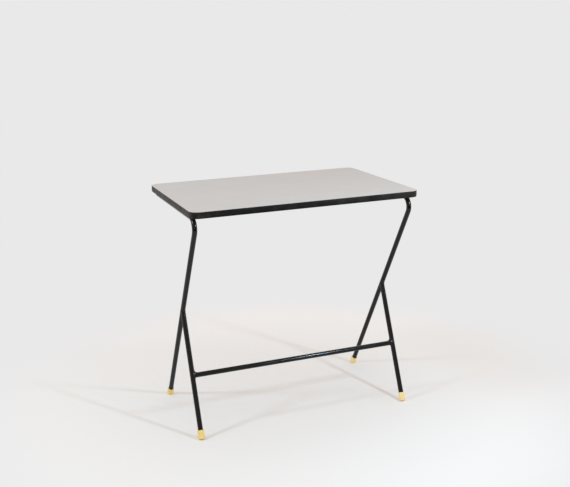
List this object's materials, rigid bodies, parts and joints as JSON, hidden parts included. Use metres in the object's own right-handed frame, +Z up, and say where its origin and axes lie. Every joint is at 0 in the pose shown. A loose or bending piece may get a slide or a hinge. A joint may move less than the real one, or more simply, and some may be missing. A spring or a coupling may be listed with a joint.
{
  "type": "side table",
  "caption": "Small side table with a grey laminate top and black edge on a welded black tube frame of slanted, Y-shaped end frames with pale yellow foot caps.",
  "frame": {"origin": "on the floor, under the middle of the top", "axes": "+X along the top from its left end to its right end as seen from the front, +Y from the front edge to the back edge, +Z up"},
  "size_m": [0.66, 0.44, 0.65],
  "materials": {
    "board": "bare plywood, sanded",
    "laminate": "satin grey decorative laminate",
    "edge_strip": "satin black edge strip, worn at the corners",
    "enamel": "gloss black enamel on steel tube",
    "foot_cap": "moulded pale yellow plastic",
    "plug": "moulded black plastic",
    "screw": "zinc plated steel"
  },
  "bodies": {
    "root": {"top_core": "board", "top_laminate": "laminate", "edge_band": "edge_strip", "left_leg_tube": "enamel", "right_leg_tube": "enamel", "left_front_strut": "enamel", "right_front_strut": "enamel", "stretcher": "enamel", "left_strut_weld": "enamel", "right_strut_weld": "enamel", "left_stretcher_weld": "enamel", "right_stretcher_weld": "enamel", "left_front_foot": "foot_cap", "right_front_foot": "foot_cap", "left_rear_foot": "foot_cap", "right_rear_foot": "foot_cap", "left_rail_plug": "plug", "right_rail_plug": "plug", "left_rail_screw_1": "screw", "left_rail_screw_2": "screw", "left_rail_screw_3": "screw", "right_rail_screw_1": "screw", "right_rail_screw_2": "screw", "right_rail_screw_3": "screw"}
  },
  "joints": []
}
